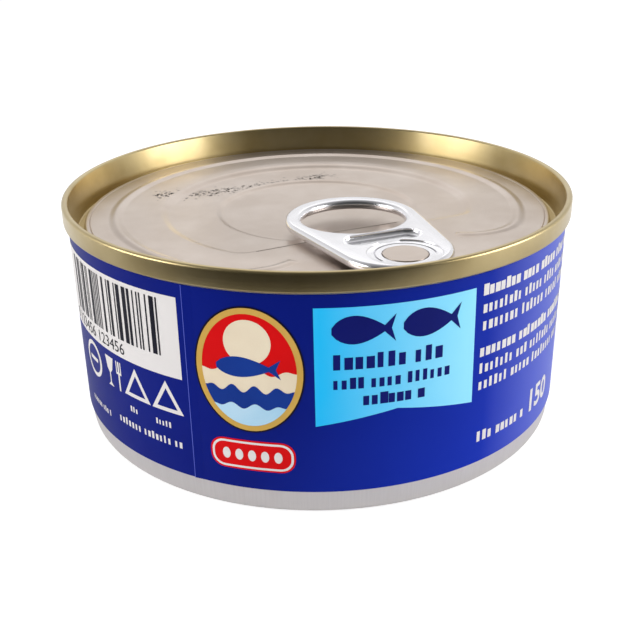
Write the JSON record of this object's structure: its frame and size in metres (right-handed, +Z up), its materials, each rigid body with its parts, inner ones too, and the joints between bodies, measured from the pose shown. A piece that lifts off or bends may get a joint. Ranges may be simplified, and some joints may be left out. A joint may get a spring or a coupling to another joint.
{
  "type": "tuna can",
  "caption": "Low round sealed food can with a wrapped paper label, a lacquered easy-open end held by a rolled seam, and a riveted ring pull.",
  "frame": {"origin": "centre of the base circle, on the plane the can stands on", "axes": "+Z up along the can's axis, -Y towards the front of the label, +X to the right as seen from the front"},
  "size_m": [0.0874, 0.0874, 0.0397],
  "materials": {
    "steel": "satin",
    "gold_lacquer": "satin",
    "tab_metal": "satin",
    "label_paper": "gloss"
  },
  "bodies": {
    "root": {"can_body": "steel", "lid": "gold_lacquer", "ring_pull": "tab_metal", "label": "label_paper"}
  },
  "joints": []
}
